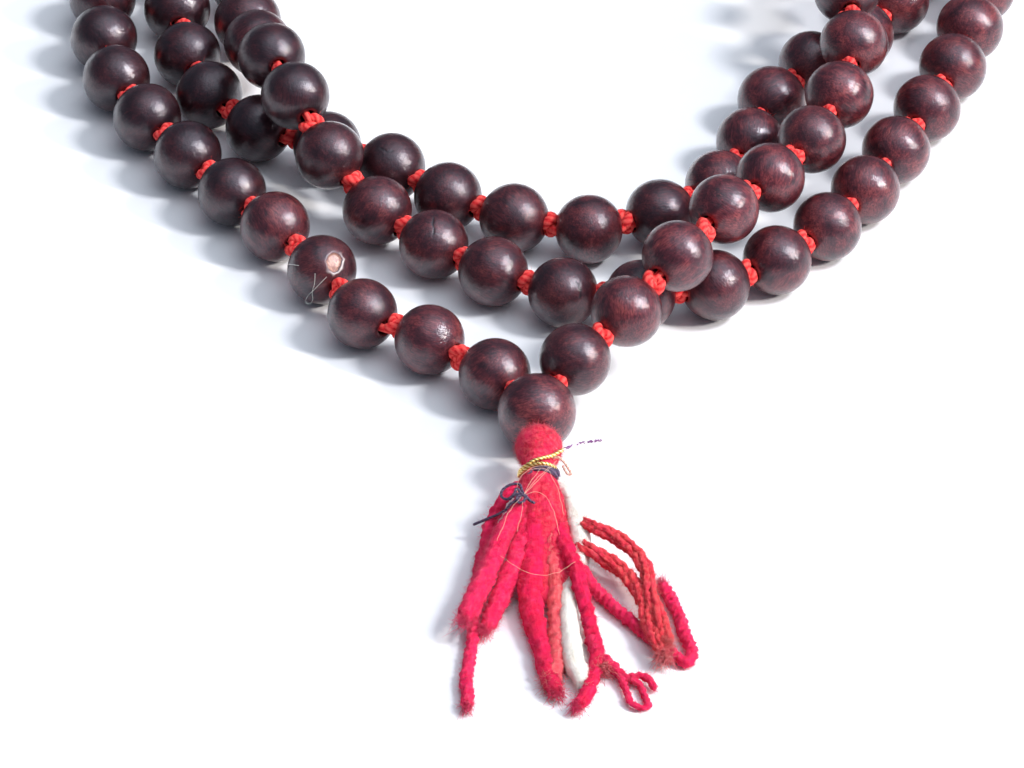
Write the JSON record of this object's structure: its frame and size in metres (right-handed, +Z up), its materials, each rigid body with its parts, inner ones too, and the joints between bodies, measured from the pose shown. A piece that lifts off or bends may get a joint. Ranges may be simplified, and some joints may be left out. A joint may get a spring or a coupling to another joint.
{
  "type": "prayer bead string",
  "caption": "Looped string of round wooden prayer beads on a knotted red cord, closed by a larger guru bead that carries a wool yarn tassel.",
  "frame": {"origin": "middle of the whole object's box, on the table it lies on", "axes": "+Y from the tassel to the back of the loops, +X to the right seen from the tassel, +Z up"},
  "size_m": [0.1156, 0.2094, 0.0157],
  "materials": {
    "rosewood": "clear lacquer, semi-gloss",
    "red_cord": "twisted cotton cord",
    "tassel_felt": "felted wool",
    "gold_thread": "metallic thread",
    "navy_thread": "fine sewing thread",
    "magenta_yarn": "fuzzy wool yarn",
    "crimson_yarn": "fuzzy wool yarn",
    "orange_yarn": "fuzzy wool yarn",
    "white_yarn": "creamy wool yarn"
  },
  "bodies": {
    "strands": {"rear_strand_outer": "rosewood", "rear_strand_middle": "rosewood", "rear_strand_inner": "rosewood", "string_left": "red_cord", "string_outer": "red_cord", "string_middle": "red_cord", "string_right": "red_cord"},
    "tassel_top": {"guru_cord": "red_cord", "tassel_head": "tassel_felt", "neck_binding": "navy_thread", "gold_thread": "gold_thread"},
    "tassel_bottom": {"tassel_skirt": "tassel_felt", "tie_thread": "navy_thread", "yarn_left_long": "magenta_yarn", "yarn_left_front": "magenta_yarn", "yarn_left_inner": "magenta_yarn", "yarn_centre_crimson": "crimson_yarn", "yarn_centre_orange": "orange_yarn", "yarn_white": "white_yarn", "yarn_right_forked": "crimson_yarn", "yarn_orange_outer": "orange_yarn", "yarn_orange_inner": "orange_yarn", "yarn_pink_loop": "magenta_yarn"},
    "guru": {"guru_bead": "rosewood"},
    "counting_001": {"bead_001": "rosewood"},
    "counting_002": {"bead_002": "rosewood"},
    "counting_003": {"bead_003": "rosewood"},
    "counting_004": {"bead_004": "rosewood"},
    "counting_005": {"bead_005": "rosewood"},
    "counting_006": {"bead_006": "rosewood"},
    "counting_007": {"bead_007": "rosewood"},
    "counting_008": {"bead_008": "rosewood"},
    "counting_009": {"bead_009": "rosewood"},
    "counting_037": {"bead_037": "rosewood"},
    "counting_038": {"bead_038": "rosewood"},
    "counting_039": {"bead_039": "rosewood"},
    "counting_040": {"bead_040": "rosewood"},
    "counting_041": {"bead_041": "rosewood"},
    "counting_042": {"bead_042": "rosewood"},
    "counting_043": {"bead_043": "rosewood"},
    "counting_044": {"bead_044": "rosewood"},
    "counting_045": {"bead_045": "rosewood"},
    "counting_046": {"bead_046": "rosewood"},
    "counting_072": {"bead_072": "rosewood"},
    "counting_073": {"bead_073": "rosewood"},
    "counting_074": {"bead_074": "rosewood"},
    "counting_075": {"bead_075": "rosewood"},
    "counting_076": {"bead_076": "rosewood"},
    "counting_077": {"bead_077": "rosewood"},
    "counting_078": {"bead_078": "rosewood"},
    "counting_079": {"bead_079": "rosewood"},
    "counting_101": {"bead_101": "rosewood"},
    "counting_102": {"bead_102": "rosewood"},
    "counting_103": {"bead_103": "rosewood"},
    "counting_104": {"bead_104": "rosewood"},
    "counting_105": {"bead_105": "rosewood"},
    "counting_106": {"bead_106": "rosewood"},
    "counting_107": {"bead_107": "rosewood"},
    "counting_108": {"bead_108": "rosewood"}
  },
  "joints": [
    {"name": "tassel_lift", "type": "hinge", "parent": "strands", "child": "tassel_top", "pos_m": [-0.00249, -0.05719, 0.00436], "axis": [-1, 0, 0], "range_deg": [0, 75]},
    {"name": "skirt_swing", "type": "hinge", "parent": "tassel_top", "child": "tassel_bottom", "pos_m": [-0.00219, -0.06869, 0.00442], "axis": [0, 0, 1], "range_deg": [-15, 15]},
    {"name": "guru_spin", "type": "hinge", "parent": "tassel_top", "child": "guru", "pos_m": [-0.00249, -0.05719, 0.00436], "axis": [0, -0.9945, 0.1045], "continuous": true},
    {"name": "spin_001", "type": "hinge", "parent": "strands", "child": "counting_001", "pos_m": [-0.00709, -0.04969, 0.00386], "axis": [-0.6442, 0.7643, -0.0273], "continuous": true},
    {"name": "spin_002", "type": "hinge", "parent": "strands", "child": "counting_002", "pos_m": [-0.01429, -0.04319, 0.00386], "axis": [-0.7876, 0.6162, 0], "continuous": true},
    {"name": "spin_003", "type": "hinge", "parent": "strands", "child": "counting_003", "pos_m": [-0.02179, -0.03819, 0.00386], "axis": [-0.6705, 0.7419, 0], "continuous": true},
    {"name": "spin_004", "type": "hinge", "parent": "strands", "child": "counting_004", "pos_m": [-0.02649, -0.02969, 0.00386], "axis": [-0.5145, 0.8575, 0], "continuous": true},
    {"name": "spin_005", "type": "hinge", "parent": "strands", "child": "counting_005", "pos_m": [-0.03199, -0.02119, 0.00386], "axis": [-0.5668, 0.8239, 0], "continuous": true},
    {"name": "spin_006", "type": "hinge", "parent": "strands", "child": "counting_006", "pos_m": [-0.03712, -0.01425, 0.00386], "axis": [-0.5865, 0.8099, 0], "continuous": true},
    {"name": "spin_007", "type": "hinge", "parent": "strands", "child": "counting_007", "pos_m": [-0.04249, -0.00669, 0.00386], "axis": [-0.5602, 0.8284, 0], "continuous": true},
    {"name": "spin_008", "type": "hinge", "parent": "strands", "child": "counting_008", "pos_m": [-0.0475, 0.00111, 0.00386], "axis": [-0.4903, 0.8716, 0], "continuous": true},
    {"name": "spin_009", "type": "hinge", "parent": "strands", "child": "counting_009", "pos_m": [-0.05149, 0.00931, 0.00386], "axis": [-0.33, 0.944, 0], "continuous": true},
    {"name": "spin_037", "type": "hinge", "parent": "strands", "child": "counting_037", "pos_m": [0.03901, -0.00569, 0.00386], "axis": [-0.4269, -0.9043, 0], "continuous": true},
    {"name": "spin_038", "type": "hinge", "parent": "strands", "child": "counting_038", "pos_m": [0.03512, -0.01375, 0.00386], "axis": [-0.4808, -0.8768, 0], "continuous": true},
    {"name": "spin_039", "type": "hinge", "parent": "strands", "child": "counting_039", "pos_m": [0.03051, -0.02119, 0.00386], "axis": [-0.6016, -0.7988, 0], "continuous": true},
    {"name": "spin_040", "type": "hinge", "parent": "strands", "child": "counting_040", "pos_m": [0.02455, -0.02781, 0.00386], "axis": [-0.749, -0.6626, 0], "continuous": true},
    {"name": "spin_041", "type": "hinge", "parent": "strands", "child": "counting_041", "pos_m": [0.01751, -0.03269, 0.00386], "axis": [-0.9124, -0.4092, 0], "continuous": true},
    {"name": "spin_042", "type": "hinge", "parent": "strands", "child": "counting_042", "pos_m": [0.0091, -0.03474, 0.00386], "axis": [-0.9961, -0.0879, 0], "continuous": true},
    {"name": "spin_043", "type": "hinge", "parent": "strands", "child": "counting_043", "pos_m": [0.00051, -0.03419, 0.00386], "axis": [-0.9615, 0.2747, 0], "continuous": true},
    {"name": "spin_044", "type": "hinge", "parent": "strands", "child": "counting_044", "pos_m": [-0.0073, -0.03005, 0.00386], "axis": [-0.8365, 0.548, 0], "continuous": true},
    {"name": "spin_045", "type": "hinge", "parent": "strands", "child": "counting_045", "pos_m": [-0.01399, -0.02469, 0.00386], "axis": [-0.7574, 0.6523, 0.0287], "continuous": true},
    {"name": "spin_046", "type": "hinge", "parent": "strands", "child": "counting_046", "pos_m": [-0.02049, -0.01869, 0.00436], "axis": [-0.6882, 0.6882, 0.2294], "continuous": true},
    {"name": "spin_072", "type": "hinge", "parent": "strands", "child": "counting_072", "pos_m": [0.02228, -0.00397, 0.00386], "axis": [-0.3482, -0.9374, 0], "continuous": true},
    {"name": "spin_073", "type": "hinge", "parent": "strands", "child": "counting_073", "pos_m": [0.01851, -0.01269, 0.00386], "axis": [-0.5876, -0.8091, 0], "continuous": true},
    {"name": "spin_074", "type": "hinge", "parent": "strands", "child": "counting_074", "pos_m": [0.01161, -0.01866, 0.00386], "axis": [-0.8575, -0.5145, 0], "continuous": true},
    {"name": "spin_075", "type": "hinge", "parent": "strands", "child": "counting_075", "pos_m": [0.00351, -0.02169, 0.00386], "axis": [-0.9986, -0.0535, 0], "continuous": true},
    {"name": "spin_076", "type": "hinge", "parent": "strands", "child": "counting_076", "pos_m": [-0.00493, -0.01954, 0.00386], "axis": [-0.9265, 0.3764, 0], "continuous": true},
    {"name": "spin_077", "type": "hinge", "parent": "strands", "child": "counting_077", "pos_m": [-0.01249, -0.01519, 0.00386], "axis": [-0.8054, 0.5927, 0], "continuous": true},
    {"name": "spin_078", "type": "hinge", "parent": "strands", "child": "counting_078", "pos_m": [-0.01899, -0.00919, 0.00386], "axis": [-0.8, 0.6, 0], "continuous": true},
    {"name": "spin_079", "type": "hinge", "parent": "strands", "child": "counting_079", "pos_m": [-0.02649, -0.00469, 0.00386], "axis": [-0.8886, 0.4586, 0], "continuous": true},
    {"name": "spin_101", "type": "hinge", "parent": "strands", "child": "counting_101", "pos_m": [0.03451, 0.00681, 0.01036], "axis": [-0.0842, -0.9821, -0.1684], "continuous": true},
    {"name": "spin_102", "type": "hinge", "parent": "strands", "child": "counting_102", "pos_m": [0.03251, -0.00169, 0.00886], "axis": [-0.3059, -0.9455, -0.1112], "continuous": true},
    {"name": "spin_103", "type": "hinge", "parent": "strands", "child": "counting_103", "pos_m": [0.02901, -0.01019, 0.00836], "axis": [-0.4472, -0.8944, 0], "continuous": true},
    {"name": "spin_104", "type": "hinge", "parent": "strands", "child": "counting_104", "pos_m": [0.02401, -0.01869, 0.00886], "axis": [-0.5229, -0.8466, 0.0996], "continuous": true},
    {"name": "spin_105", "type": "hinge", "parent": "strands", "child": "counting_105", "pos_m": [0.01851, -0.02719, 0.01036], "axis": [-0.514, -0.8536, 0.0849], "continuous": true},
    {"name": "spin_106", "type": "hinge", "parent": "strands", "child": "counting_106", "pos_m": [0.01311, -0.03679, 0.01066], "axis": [-0.5607, -0.8183, -0.1263], "continuous": true},
    {"name": "spin_107", "type": "hinge", "parent": "strands", "child": "counting_107", "pos_m": [0.00741, -0.04339, 0.00786], "axis": [-0.6379, -0.7218, -0.2686], "continuous": true},
    {"name": "spin_108", "type": "hinge", "parent": "strands", "child": "counting_108", "pos_m": [0.00171, -0.04969, 0.00586], "axis": [-0.5709, -0.7958, -0.2018], "continuous": true}
  ]
}
